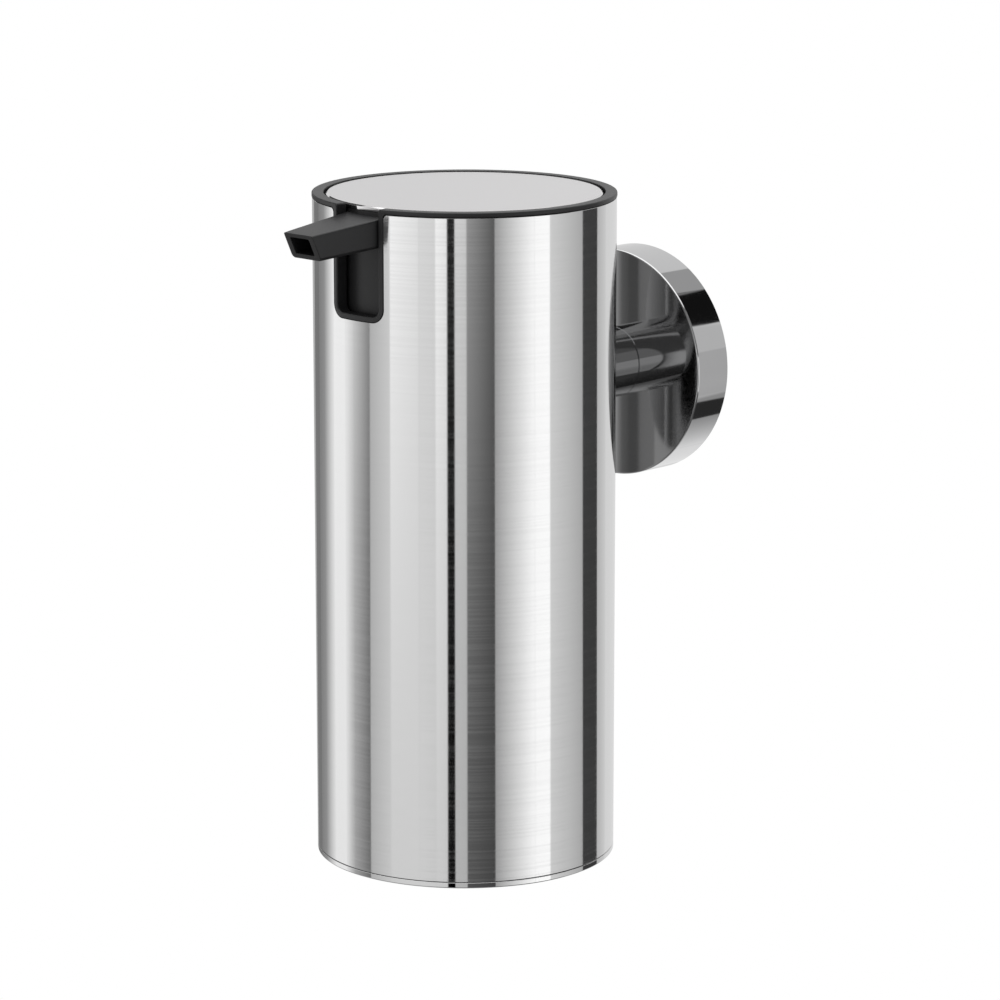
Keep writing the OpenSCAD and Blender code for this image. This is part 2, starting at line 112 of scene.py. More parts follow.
TOP_FALL, FOOT_FALL = 0.1, 0.07                  # per millimetre; the foot's holds behind SPOUT_REF_Y
TIP_W = 9.3
TIP_H = 5.95
TIP_RAKE = 2.8

# ---------------------------------------------------------------- camera
CAMERA_AZIMUTH = 43.9
CAMERA_ELEVATION = 12.4
CAMERA_DISTANCE = 986.5
CAMERA_LENS = 153.58
CAMERA_TARGET = Vector((11.3, AXIS_Y, -24.3))


def make_camera():
    data = bpy.data.cameras.new("camera")
    data.lens = CAMERA_LENS
    data.sensor_width = 36
    data.clip_start = 0.05
    data.clip_end = 20
    camera = bpy.data.objects.new("camera", data)
    azimuth, elevation = math.radians(CAMERA_AZIMUTH), math.radians(CAMERA_ELEVATION)
    back = Vector((math.sin(azimuth) * math.cos(elevation), -math.cos(azimuth) * math.cos(elevation),
                   math.sin(elevation)))
    camera.location = (CAMERA_TARGET + back * CAMERA_DISTANCE) * MM
    camera.rotation_euler = (-back).to_track_quat("-Z", "Y").to_euler()
    bpy.context.scene.collection.objects.link(camera)
    bpy.context.scene.camera = camera


# ---------------------------------------------------------------- node helpers
class Nodes:
    """Short calls for building a node tree."""

    def __init__(self, tree):
        self.tree = tree
        tree.nodes.clear()

    def add(self, kind, **values):
        node = self.tree.nodes.new(kind)
        for name, value in values.items():
            setattr(node, name, value)
        return node

    def join(self, source, target):
        self.tree.links.new(source, target)

    def math(self, operation, a, b=None, clamp=False):
        node = self.add("ShaderNodeMath", operation=operation, use_clamp=clamp)
        for socket, value in zip(node.inputs, (a, b)):
            if value is None:
                continue
            if isinstance(value, (int, float)):
                socket.default_value = value
            else:
                self.join(value, socket)
        return node.outputs[0]

    def ramp01(self, value, low, high, smooth=True):
        """0 below low, 1 above high."""
        node = self.add("ShaderNodeMapRange", interpolation_type="SMOOTHSTEP" if smooth else "LINEAR")
        self.join(value, node.inputs["Value"])
        node.inputs["From Min"].default_value = low
        node.inputs["From Max"].default_value = high
        return node.outputs[0]

    def scale(self, value, low, high):
        """Maps 0..1 to low..high."""
        node = self.add("ShaderNodeMapRange")
        self.join(value, node.inputs["Value"])
        node.inputs["To Min"].default_value = low
        node.inputs["To Max"].default_value = high
        return node.outputs[0]

    def noise(self, vector, scale, detail=2.0, roughness=0.5):
        node = self.add("ShaderNodeTexNoise")
        self.join(vector, node.inputs["Vector"])
        node.inputs["Scale"].default_value = scale
        node.inputs["Detail"].default_value = detail
        node.inputs["Roughness"].default_value = roughness
        return node.outputs["Fac"]

    def stretched(self, stretch):
        """Object coordinates scaled by stretch, which is per millimetre."""
        coords = self.add("ShaderNodeTexCoord").outputs["Object"]
        node = self.add("ShaderNodeVectorMath", operation="MULTIPLY")
        self.join(coords, node.inputs[0])
        node.inputs[1].default_value = [s / MM for s in stretch]
        return node.outputs[0]


# ---------------------------------------------------------------- studio
# Cards that the steel mirrors, painted one over the other on the plain surround. Azimuths count from the
# camera towards the picture's right and elevations from the horizon, in degrees. Each card has its left
# and right edge, its foot and top, and the brightness of its upper corners (left, right) and lower corners.
SURROUND = 0.6
UPPER_CARDS = [
    ("softbox overhead", -180, 180, 48, 90, (1.5, 1.5), (1.5, 1.5)),
    ("back wall", -180, 180, 5, 48, (0.75, 0.75), (0.75, 0.75)),
    ("left wall", -125, -30, 5, 48, (0.5, 0.6), (0.5, 0.6)),
    ("camera wall, high", -30, 60, 24, 48, (0.26, 0.20), (0.26, 0.20)),
    ("camera wall", -30, 12, 4, 24, (0.42, 0.42), (0.42, 0.42)),
    ("right wall, front", 12, 88, 3, 48, (0.16, 0.16), (0.16, 0.16)),
    ("right wall, lit", 88, 99, 4, 22, (0.62, 0.62), (0.62, 0.62)),
    ("black flag, high", 99, 121, 22, 39.6, (0.008, 0.008), (0.008, 0.008)),
    ("ceiling edge", 100, 121, 39.6, 48, (0.10, 0.10), (0.10, 0.10)),
    ("grey ceiling edge", 121, 146, 37, 48, (0.42, 0.42), (0.42, 0.42)),
    ("dark corner", -168, -125, 14, 42, (0.06, 0.06), (0.06, 0.06)),
]
LOWER_CARDS = [
    ("floor", -180, 180, -90, -24, (0.35, 0.35), (0.35, 0.35)),
    ("dark floor", -30, 99, -60, -24, (0.15, 0.04), (0.15, 0.04)),
    ("black flag, low", 99, 114, -38, -28, (0.03, 0.03), (0.03, 0.03)),
    ("lit floor, front", 88, 101, -30, -23, (0.55, 0.55), (0.55, 0.55)),
    ("lit floor", 114, 148, -50, -37, (0.36, 0.92), (0.36, 0.92)),
    ("lit floor, back", 148, 180, -50, -20, (0.92, 0.92), (0.92, 0.92)),
]
BELT = (-24, 5)
BELT_CARDS = [
    ("left corner", -180, -159, (0.50, 0.45), (0.50, 0.45)),
    ("dark left corner", -159, -143, (0.20, 0.20), (0.20, 0.20)),
    ("left corner, lit", -143, -131, (0.24, 0.33), (0.24, 0.33)),
    ("left corner's edge", -131, -117, (0.36, 1.0), (0.36, 0.88)),
    ("window, left", -117, -101, (1.10, 1.08), (0.94, 0.96)),
    ("window's shade", -101, -92, (1.05, 0.88), (0.90, 0.44)),
    ("shaded wall", -92, -75.2, (0.84, 0.30), (0.41, 0.16)),
    ("bright wall", -75.2, -57.5, (0.53, 0.74), (0.52, 0.70)),
    ("softbox, left", -57.5, -34, (1.18, 0.95), (0.72, 0.75)),
    ("softbox, middle", -34, -21.5, (0.86, 0.82), (0.75, 0.73)),
    ("softbox, right", -21.5, -12.6, (1.18, 1.05), (0.73, 0.70)),
    ("camera", -12.6, -6.9, (0.02, 0.02), (0.0, 0.0)),
    ("light gap", -6.9, 1.8, (0.84, 0.76), (0.55, 0.52)),
    ("dark backdrop", 1.8, 22.9, (0.42, 0.12), (0.09, 0.062)),
    ("softbox, rising", 22.9, 54, (0.40, 1.18), (0.40, 1.18)),
    ("softbox, full", 54, 67.4, (1.18, 1.22), (1.18, 1.22)),
    ("grey wall, right", 67.4, 100.2, (0.75, 0.47), (0.75, 0.47)),
    ("black flag", 100.2, 119.8, (0.055, 0.05), (0.05, 0.045)),
    ("right edge", 119.8, 134, (0.54, 0.70), (0.54, 0.70)),
    ("back right", 134, 180, (0.76, 0.76), (0.76, 0.76)),
]
CARD_LEAN = 0.04                                 # cards lie this share further out at the belt's foot
BELT_LOW, BELT_HIGH = -17.5, -8.5                # elevations between which the corners' values change
CARD_SOFT = 1.2
GAP_LIGHT = 0.46                                 # share of the studio's light left after two reflections
SECOND_REFLECTION = (2.2, 2.8)                   # ray depths: 2 behind one reflection, 3 behind two
BACKGROUND = 1.0


def make_world():
    world = bpy.data.worlds.new("studio")
    world.use_nodes = True
    bpy.context.scene.world = world
    n = Nodes(world.node_tree)
    light_path = n.add("ShaderNodeLightPath")
    direction = n.add("ShaderNodeTexCoord").outputs["Generated"]
    turn = n.add("ShaderNodeVectorRotate", rotation_type="Z_AXIS")
    n.join(direction, turn.inputs["Vector"])
    turn.inputs["Angle"].default_value = math.radians(90 - CAMERA_AZIMUTH)
    split = n.add("ShaderNodeSeparateXYZ")
    n.join(turn.outputs[0], split.inputs[0])
    azimuth = n.math("DEGREES", n.math("ARCTAN2", split.outputs["Y"], split.outputs["X"]))
    elevation = n.math("DEGREES", n.math("ARCSINE", split.outputs["Z"]))
    height = n.ramp01(elevation, BELT_LOW, BELT_HIGH, smooth=False)
    lean = n.math("ADD", 1.0 + CARD_LEAN, n.math("MULTIPLY", height, -CARD_LEAN))
    leaning = n.math("DIVIDE", azimuth, lean)
    upper = n.math("MULTIPLY", height, height)

    def within(value, low, high):
        half = CARD_SOFT / 2
        return n.math("MULTIPLY", n.ramp01(value, low - half, low + half),
                      n.math("SUBTRACT", 1.0, n.ramp01(value, high - half, high + half)))

    def mixed(factor, a, b):
        node = n.add("ShaderNodeMix", data_type="FLOAT")
        for socket, value in ((node.inputs[0], factor), (node.inputs[2], a), (node.inputs[3], b)):
            if isinstance(value, float):
                socket.default_value = value
            else:
                n.join(value, socket)
        return node.outputs[0]

    def card(value, left, right, top_pair, foot_pair):
        across = n.ramp01(value, left, right, smooth=False)
        top = mixed(across, float(top_pair[0]), float(top_pair[1]))
        if top_pair == foot_pair:
            return top
        return mixed(upper, mixed(across, float(foot_pair[0]), float(foot_pair[1])), top)

    level = float(SURROUND)
    for name, left, right, foot, top, top_pair, foot_pair in UPPER_CARDS + LOWER_CARDS:
        inside = within(elevation, foot, top)
        if right - left < 360:
            inside = n.math("MULTIPLY", inside, within(azimuth, left, right))
        level = mixed(inside, level, card(azimuth, left, right, top_pair, foot_pair))
    belt = float(SURROUND)
    for name, left, right, top_pair, foot_pair in BELT_CARDS:
        belt = mixed(within(leaning, left, right), belt, card(leaning, left, right, top_pair, foot_pair))
    level = mixed(within(elevation, *BELT), level, belt)
    deep = n.ramp01(light_path.outputs["Ray Depth"], *SECOND_REFLECTION)
    studio = n.add("ShaderNodeBackground")
    n.join(level, studio.inputs["Color"])
    n.join(mixed(deep, 1.0, GAP_LIGHT), studio.inputs["Strength"])
    plain = n.add("ShaderNodeBackground")
    plain.inputs["Color"].default_value = (BACKGROUND, BACKGROUND, BACKGROUND, 1)
    choose = n.add("ShaderNodeMixShader")
    n.join(light_path.outputs["Is Camera Ray"], choose.inputs[0])
    n.join(studio.outputs[0], choose.inputs[1])
    n.join(plain.outputs[0], choose.inputs[2])
    n.join(choose.outputs[0], n.add("ShaderNodeOutputWorld").inputs[0])


# ---------------------------------------------------------------- materials
def new_material(name, color, metallic, roughness):
    material = bpy.data.materials.new(name)
    material.use_nodes = True
    n = Nodes(material.node_tree)
    shader = n.add("ShaderNodeBsdfPrincipled")
    n.join(shader.outputs[0], n.add("ShaderNodeOutputMaterial").inputs[0])
    shader.inputs["Base Color"].default_value = (*color, 1)
    shader.inputs["Metallic"].default_value = metallic
    shader.inputs["Roughness"].default_value = roughness
    return material, n, shader


def tint(n, shader, factor, dark, light):
    """Base colour between dark and light by factor."""
    mix = n.add("ShaderNodeMix", data_type="RGBA")
    n.join(factor, mix.inputs[0])
    mix.inputs[6].default_value = (*dark, 1)
    mix.inputs[7].default_value = (*light, 1)
    n.join(mix.outputs[2], shader.inputs["Base Color"])


def bump(n, shader, height, distance, strength=1.0):
    """Bump of height 0..1 over distance millimetres."""
    node = n.add("ShaderNodeBump")
    n.join(height, node.inputs["Height"])
    node.inputs["Distance"].default_value = distance * MM
    node.inputs["Strength"].default_value = strength
    n.join(node.outputs[0], shader.inputs["Normal"])


def brushed_steel(name, roughness=0.10, lines=(0.003, 0.003, 2.2), grey=0.80, line_depth=0.00002):
    """Stainless steel with fine brush lines round the body, across the third axis of lines."""
    material, n, shader = new_material(name, (grey, grey, grey), 1, roughness)
    coarse = n.noise(n.stretched(lines), 1, 2, 0.6)
    fine = n.noise(n.stretched([v * 3 for v in lines]), 1, 2, 0.5)
    tint(n, shader, fine, (grey * 0.985,) * 3, (min(grey * 1.015, 1),) * 3)
    rough_lines = n.ramp01(coarse, 0.36, 0.64)
    n.join(n.scale(rough_lines, roughness * 0.8, roughness * 1.25), shader.inputs["Roughness"])
    bump(n, shader, fine, line_depth)
    shader.inputs["Anisotropic"].default_value = 1.0
    shader.inputs["Anisotropic Rotation"].default_value = 0.25
    tangent = n.add("ShaderNodeTangent", direction_type="RADIAL", axis="Z")
    n.join(tangent.outputs[0], shader.inputs["Tangent"])
    return material


def satin_steel(name):
    """Satin steel, polished at the disc's turned rim."""
    material, n, shader = new_material(name, (0.80, 0.79, 0.795), 1, 0.30)
    grain = n.noise(n.stretched((3.0, 0.05, 3.0)), 1, 3, 0.6)
    tint(n, shader, grain, (0.79, 0.78, 0.785), (0.83, 0.82, 0.825))
    place = n.add("ShaderNodeTexCoord").outputs["Object"]
    offset = n.add("ShaderNodeVectorMath", operation="SUBTRACT")
    n.join(place, offset.inputs[0])
    offset.inputs[1].default_value = body_place(0, 0, 0)
    flat = n.add("ShaderNodeVectorMath", operation="MULTIPLY")
    n.join(offset.outputs[0], flat.inputs[0])
    flat.inputs[1].default_value = (1, 1, 0)
    radius = n.add("ShaderNodeVectorMath", operation="LENGTH")
    n.join(flat.outputs[0], radius.inputs[0])
    rim_in = DISC_R - DISC_BEVEL
    rim = n.ramp01(radius.outputs["Value"], (rim_in - 0.02) * MM, (rim_in + 0.02) * MM)
    satin = n.scale(grain, 0.27, 0.34)
    polish = 0.07
    blend = n.add("ShaderNodeMix", data_type="FLOAT")
    n.join(rim, blend.inputs[0])
    n.join(satin, blend.inputs[2])
    blend.inputs[3].default_value = polish
    n.join(blend.outputs[0], shader.inputs["Roughness"])
    bump(n, shader, grain, 0.0003)
    return material


def polished_steel(name):
    material, n, shader = new_material(name, (0.66, 0.66, 0.665), 1, 0.05)
    haze = n.noise(n.stretched((0.08, 0.08, 0.08)), 1, 4, 0.6)
    scratch = n.noise(n.stretched((0.3, 0.3, 6.0)), 1, 2, 0.5)
    tint(n, shader, haze, (0.64, 0.64, 0.645), (0.68, 0.68, 0.685))
    n.join(n.scale(n.math("MULTIPLY", haze, scratch), 0.03, 0.09), shader.inputs["Roughness"])
    return material


def moulded_plastic(name, color, roughness, grain_depth=0.004, spread=0.12):
    """Moulded plastic with a fine spark-eroded grain."""
    material, n, shader = new_material(name, color, 0, roughness)
    cloud = n.noise(n.stretched((0.1, 0.1, 0.1)), 1, 3, 0.5)
    grain = n.noise(n.stretched((5.0, 5.0, 5.0)), 1, 2, 0.6)
    tint(n, shader, cloud, [c * (1 - spread) for c in color], [min(c * (1 + spread), 1) for c in color])
    n.join(n.scale(grain, roughness * 0.88, roughness * 1.12), shader.inputs["Roughness"])
    bump(n, shader, grain, grain_depth)
    return material


def bottle_plastic(name):
    material = moulded_plastic(name, (0.86, 0.88, 0.88), 0.32, 0.002, 0.03)
    shader = next(x for x in material.node_tree.nodes if x.type == "BSDF_PRINCIPLED")
    shader.inputs["Transmission Weight"].default_value = 0.45
    shader.inputs["IOR"].default_value = 1.45
    return material


def cast_metal(name, color, roughness, grain_depth):
    material, n, shader = new_material(name, color, 1, roughness)
    grain = n.noise(n.stretched((1.2, 1.2, 1.2)), 1, 4, 0.6)
    tint(n, shader, grain, [c * 0.85 for c in color], [min(c * 1.12, 1) for c in color])
    n.join(n.scale(grain, roughness * 0.8, roughness * 1.2), shader.inputs["Roughness"])
    bump(n, shader, grain, grain_depth)
    return material


def make_materials():
    black = (0.018, 0.018, 0.019)
    white = (0.80, 0.81, 0.81)
    return {
        "brushed_steel": brushed_steel("brushed_steel"),
        "turned_steel": brushed_steel("turned_steel", roughness=0.045),
        "satin_steel": satin_steel("satin_steel"),
        "polished_steel": polished_steel("polished_steel"),
        "black_plastic": moulded_plastic("black_plastic", black, 0.42),
        "white_plastic": moulded_plastic("white_plastic", white, 0.34, 0.002, 0.03),
        "bottle_plastic": bottle_plastic("bottle_plastic"),
        "seal_rubber": moulded_plastic("seal_rubber", (0.03, 0.03, 0.03), 0.6, 0.006),
        "cast_plate": cast_metal("cast_plate", (0.52, 0.52, 0.53), 0.42, 0.02),
        "fastener_steel": cast_metal("fastener_steel", (0.66, 0.66, 0.67), 0.22, 0.002),
        "dark_screw": cast_metal("dark_screw", (0.06, 0.06, 0.065), 0.38, 0.003),
        "spring_steel": cast_metal("spring_steel", (0.60, 0.60, 0.62), 0.25, 0.002),
    }


# ---------------------------------------------------------------- mesh helpers
def body_place(x, y, h):
    """Body frame (axis at the origin, ring top at height 0) to the row frame, in metres."""
    return Vector((x, y + AXIS_Y, h + TOP_Z)) * MM


def wall_place(x, y, h):
    """Rosette's axis, height from the wall outwards, to the row frame, in metres."""
    return Vector((x, -h, y)) * MM


def rounded(points, closed=False, steps=6):
    """Replaces each corner (r, h, fillet) by an arc of that radius; (r, h) stays sharp."""
    out = []
    count = len(points)
    for i, point in enumerate(points):
        here = Vector(point[:2])
        radius = point[2] if len(point) > 2 else 0
        if radius <= 0 or (not closed and i in (0, count - 1)):
            out.append(here)
            continue
        before, after = Vector(points[i - 1][:2]) - here, Vector(points[(i + 1) % count][:2]) - here
        before.normalize()
        after.normalize()
        half = math.acos(max(-1, min(1, before.dot(after)))) / 2
        reach = radius / math.tan(half)
        centre = here + (before + after).normalized() * (radius / math.sin(half))
        start, end = here + before * reach - centre, here + after * reach - centre
        sweep = math.atan2(start.x * end.y - start.y * end.x, start.dot(end))
        for k in range(steps + 1):
            a = sweep * k / steps
            turned = Vector((start.x * math.cos(a) - start.y * math.sin(a),
                             start.x * math.sin(a) + start.y * math.cos(a)))
            out.append(centre + turned)
    return out


def bridge(bm, one, two, closed=True):
    """Quads between two rings of vertices; a ring of one vertex makes a fan."""
    count = max(len(one), len(two))
    for i in range(count if closed else count - 1):
        j = (i + 1) % count
        corners = []
        for ring, k in ((one, i), (one, j), (two, j), (two, i)):
            vert = ring[k] if len(ring) > 1 else ring[0]
            if vert not in corners:
                corners.append(vert)
        if len(corners) > 2:
            bm.faces.new(corners)


def lathe_into(bm, chain, place, closed=True, segments=192):
    """Revolves the chain of (r, h) about the place's axis. closed joins its last ring to its first."""
    rings = []
    for r, h in chain:
        if r < 1e-6:
            rings.append([bm.verts.new(place(0, 0, h))])
            continue
        rings.append([bm.verts.new(place(r * math.cos(a), r * math.sin(a), h))
                      for a in (2 * math.pi * k / segments for k in range(segments))])
    for one, two in zip(rings, rings[1:] + rings[:1] if closed else rings[1:]):
        bridge(bm, one, two)
    return rings


def prism_into(bm, outline, place, low, high):
    """Closed prism over an outline of (x, y), from height low to high of the place."""
    ends = [[bm.verts.new(place(x, y, h)) for x, y in outline] for h in (low, high)]
    bridge(bm, *ends)
    for ring in ends:
        bm.faces.new(ring)


def mark_sharp(bm, degrees):
    """Smooth faces, with sharp edges where two of them meet at this angle or more."""
    for face in bm.faces:
        face.smooth = True
    limit = math.radians(degrees)
    for edge in bm.edges:
        edge.smooth = len(edge.link_faces) == 2 and edge.calc_face_angle(0) < limit


def weight_normals(piece):
    modifier = piece.modifiers.new("weighted", "WEIGHTED_NORMAL")
    modifier.keep_sharp = True


def finish_mesh(bm, name, material, sharp=35, weighted=True):
    """Turns the bmesh into a shown object with smooth faces and sharp corners."""
    bmesh.ops.recalc_face_normals(bm, faces=bm.faces)
    mark_sharp(bm, sharp)
    mesh = bpy.data.meshes.new(name)
    bm.to_mesh(mesh)
    bm.free()
    if material:
        mesh.materials.append(material)
    piece = bpy.data.objects.new(name, mesh)
    bpy.context.scene.collection.objects.link(piece)
    if weighted:
        weight_normals(piece)
    return piece


def carve(piece, cutters, operation="DIFFERENCE"):
    """Cuts the cutters from the piece, or joins them to it, and removes them."""
    for cutter in cutters:
        modifier = piece.modifiers.new("carve", "BOOLEAN")
        modifier.operation = operation
        modifier.solver = "EXACT"
        modifier.object = cutter
    bpy.context.view_layer.update()
    depsgraph = bpy.context.evaluated_depsgraph_get()
    mesh = bpy.data.meshes.new_from_object(piece.evaluated_get(depsgraph))
    piece.modifiers.clear()
    piece.data = mesh
    for cutter in cutters:
        bpy.data.objects.remove(cutter)


def reshade(piece, sharp=35):
    """Marks sharp corners again after a cut."""
    bm = bmesh.new()
    bm.from_mesh(piece.data)
    mark_sharp(bm, sharp)
    bm.to_mesh(piece.data)
    bm.free()
    weight_normals(piece)


def true_round(piece, radii, place_axis_y):
    """Gives the faces on round walls of these radii normals that point exactly away from the axis."""
    upright, aligned, tolerance = 0.02, 0.99, 0.05 * MM
    mesh = piece.data
    normals = []
    for polygon in mesh.polygons:
        flat = polygon.normal
        for loop in polygon.loop_indices:
            spot = mesh.vertices[mesh.loops[loop].vertex_index].co
            out = Vector((spot.x, spot.y - place_axis_y, 0))
            on_wall = abs(flat.z) < upright and any(abs(out.length - r) < tolerance for r in radii)
            radial = out.normalized()
            if on_wall and abs(flat.dot(radial)) > aligned:
                normals.append(radial if flat.dot(radial) > 0 else -radial)
            else:
                normals.append(flat)
    mesh.normals_split_custom_set(normals)


def drill(name, radius, start, end, place):
    """Round cutter along the place's axis, from height start to end."""
    bm = bmesh.new()
    lathe_into(bm, [(0, start), (radius, start), (radius, end), (0, end)], place, closed=False, segments=48)
    return finish_mesh(bm, name, None, weighted=False)


def done(piece, body, slot, *nodes):
    """Lets the piece ride on a body in place of CAD nodes."""
    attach(piece, body)
    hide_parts(*nodes)


# ---------------------------------------------------------------- outlines round the slot
def arc_points(cx, cy, radius, start, end, steps):
    """Points of an arc, angles in degrees."""
    angles = [math.radians(start + (end - start) * k / steps) for k in range(steps + 1)]
    return [(cx + radius * math.cos(a), cy + radius * math.sin(a)) for a in angles]


def rotated(outline, degrees):
    """The outline turned about the origin."""
    cos, sin = math.cos(math.radians(degrees)), math.sin(math.radians(degrees))
    return [(x * cos - y * sin, x * sin + y * cos) for x, y in outline]


def u_outline(half, foot, corner, top, flare=0.0, flare_top=0.0, steps=10):
    """U open at the top, as a closed outline; flare rounds its upper corners outwards at flare_top."""
    right = arc_points(half - corner, foot + corner, corner, -90, 0, steps)
    if flare:
        right += arc_points(half + flare, flare_top - flare, flare, 180, 90, steps)
        right += [(half + flare, top)]
    else:
        right += [(half, top)]
    return right + [(-x, y) for x, y in reversed(right)]


def slot_cutter(name, outline, reach_in, reach_out):
    """Prism of the outline through the front of the body, between two distances from its axis."""
    bm = bmesh.new()
    prism_into(bm, outline, lambda x, z, h: body_place(x, -h, z), reach_in, reach_out)
    return finish_mesh(bm, name, None, weighted=False)


# ---------------------------------------------------------------- pieces of the holder
def make_shell(material):
    """Brushed steel tube with the frame's cut-out and the neck screw's hole."""
    bm = bmesh.new()
    inner = BODY_R - SHELL_T
    chain = rounded([(BODY_R, SHELL_FOOT, 0.12), (BODY_R, SHELL_TOP, 0.1), (inner, SHELL_TOP, 0.08),
                     (inner, SHELL_FOOT, 0.12)], closed=True, steps=3)
    lathe_into(bm, chain, body_place, segments=360)
    shell = finish_mesh(bm, "shell_tube", material, weighted=False)
    outline = u_outline(SLOT_HALF + FRAME_W + FRAME_FIT, SLOT_FOOT - FRAME_W - FRAME_FIT,
                        FRAME_CORNER + FRAME_FIT, 2, RIM_CORNER, SHELL_TOP)
    hole = drill("cut_hole", SCREW_HOLE_R, 20, BODY_R + 1, lambda x, y, h: body_place(x, h, y - MOUNT_DROP))
    carve(shell, [slot_cutter("cut_slot", outline, *THROUGH_FRONT), hole])
    true_round(shell, (BODY_R * MM, inner * MM), AXIS_Y * MM)
    done(shell, "holder", "brushed_steel", "shell")


def make_base_cap(material):
    """Pressed base, with the rounded edge below the seam and the recess underneath."""
    spigot = BODY_R - SHELL_T - 0.05
    spigot_in = spigot - 1.15
    spigot_top = BASE_EDGE + 4
    recess, foot_ring = 0.5, BODY_R - 5
    chain = rounded([(0, recess), (foot_ring - 0.5, recess, 0.4), (foot_ring, 0, 0.4), (BODY_R, 0, 0.3),
                     (BODY_R, BASE_EDGE, 0.12), (spigot, BASE_EDGE), (spigot, spigot_top, 0.3),
                     (spigot_in, spigot_top, 0.3), (spigot_in, BASE_EDGE, 0.3), (0, BASE_EDGE)])
    bm = bmesh.new()
    lathe_into(bm, chain, lambda x, y, h: body_place(x, y, h - BODY_H), closed=False, segments=360)
    done(finish_mesh(bm, "base", material), "holder", "brushed_steel", "base_cap")


def make_neck(material):
    """Polished bar, its front end following the shell's curve."""
    root = ROSETTE_T + 0.05
    front = -AXIS_Y - BODY_R
    chain = rounded([(0, root), (NECK_R, root, 0.2), (NECK_R, front), (0, front)])
    bm = bmesh.new()
    rings = lathe_into(bm, chain, wall_place, closed=False, segments=160)
    for ring in rings[-2:]:
        for vert in ring:
            x = vert.co.x / MM
            vert.co.y = (AXIS_Y + math.sqrt(BODY_R ** 2 - x ** 2) - 0.02) * MM
    done(finish_mesh(bm, "neck_bar", material), "holder", "polished_steel", "neck")


def make_rosette(material):
    """Polished cup with a softly rounded front edge, and the threaded boss of the grub screw."""
    inner = ROSETTE_R - 2
    back = ROSETTE_T - 1.8
    wall_gap = 0.3
    chain = rounded([(SCREW_HOLE_R, back), (inner, back, 0.8), (inner, wall_gap, 0.1),
                     (ROSETTE_R, wall_gap, 0.2), (ROSETTE_R, ROSETTE_T, 0.4),
                     (SCREW_HOLE_R, ROSETTE_T, 0.1)], closed=True)
    bm = bmesh.new()
    lathe_into(bm, chain, wall_place, segments=360)
    rosette = finish_mesh(bm, "rosette_cup", material, weighted=False)
    bm = bmesh.new()
    half, foot, top = 4, -inner - 0.6, -PLATE_R - 0.1
    low, high = 1.4, 7.8
    prism_into(bm, [(-half, foot), (half, foot), (half, top), (-half, top)], wall_place, low, high)
    carve(rosette, [finish_mesh(bm, "boss", None, weighted=False)], "UNION")
    grub_r, off_wall = 2, 4.6
    carve(rosette, [drill("cut_grub", grub_r, 20, ROSETTE_R + 1,
                          lambda x, y, h: wall_place(x, -h, y + off_wall))])
    reshade(rosette)
    done(rosette, "holder", "polished_steel", "rosette")


def make_wall_plate(material):
    """Die-cast plate with a grooved rim and two screw holes."""
    rim, groove, top, floor, well = PLATE_R - 0.8, PLATE_R - 2.2, 6.8, 2.6, 19.5
    chain = rounded([(0, 0), (PLATE_R, 0, 0.3), (PLATE_R, 2, 0.2), (rim, 2.6, 0.2), (rim, 3.2, 0.2),
                     (groove, 4.6, 0.2), (rim, 6, 0.2), (rim, top, 0.3), (well, top, 0.4),
                     (well, floor, 0.8), (0, floor)], steps=4)
    bm = bmesh.new()
    lathe_into(bm, chain, wall_place, closed=False, segments=128)
    plate = finish_mesh(bm, "plate", material, weighted=False)
    hole_r, hole_x = 2.4, 14
    carve(plate, [drill("cut_screw", hole_r, -1, 4, lambda x, y, h, s=side: wall_place(x + hole_x * s, y, h))
                  for side in (-1, 1)])
    reshade(plate)
    done(plate, "holder", "cast_plate", "wall_plate")


# ---------------------------------------------------------------- pieces of the pump
def trim_band(bm):
    """The ring and the frame round the slot as one closed band of rounded section.
    Its two edges run in the unrolled wall (u along the circle, v up): the inner one along the ring's top
    and the slot, the outer one along the steel."""
    turn = 2 * math.pi * TRIM_R
    top_corner = 0.5
    steps = 10
    outer_half = SLOT_HALF + FRAME_W
    outer_foot = SLOT_FOOT - FRAME_W
    inner_corner = FRAME_CORNER - FRAME_W
    inner, outer = [], []
    # from the middle of the slot's foot to the right, up, and round the back
    inner += [(0, SLOT_FOOT)]
    inner += arc_points(SLOT_HALF - inner_corner, SLOT_FOOT + inner_corner, inner_corner, -90, 0, steps)
    outer += [(0, outer_foot)]
    outer += arc_points(outer_half - FRAME_CORNER, outer_foot + FRAME_CORNER, FRAME_CORNER, -90, 0, steps)
    inner += arc_points(SLOT_HALF + top_corner, -top_corner, top_corner, 180, 90, steps)
    outer += arc_points(outer_half + RIM_CORNER, -RING_H - RIM_CORNER, RIM_CORNER, 180, 90, steps)
    ring_steps = 240
    start_in, start_out = inner[-1][0], outer[-1][0]
    for k in range(1, ring_steps + 1):
        share = k / ring_steps
        inner.append((start_in + (turn / 2 - start_in) * share, 0))
        outer.append((start_out + (turn / 2 - start_out) * share, -RING_H))
    # the left half mirrors the right one
    inner += [(turn - u, v) for u, v in reversed(inner[1:-1])]
    outer += [(turn - u, v) for u, v in reversed(outer[1:-1])]
    rings = []
    for (iu, iv), (ou, ov) in zip(inner, outer):
        across = Vector((ou - iu, ov - iv))
        width = across.length
        section = rounded([(WELL_R, 0, 0.15), (TRIM_R, 0, RING_ROUND), (TRIM_R, width, 0.2),
                           (WELL_R, width, 0.06)], closed=True, steps=4)
        ring = []
        for r, w in section:
            u, v = iu + across.x * w / width, iv + across.y * w / width
            a = u / TRIM_R - math.pi / 2
            ring.append(bm.verts.new(body_place(r * math.cos(a), r * math.sin(a), v)))
        rings.append(ring)
    for one, two in zip(rings, rings[1:] + rings[:1]):
        bridge(bm, one, two)


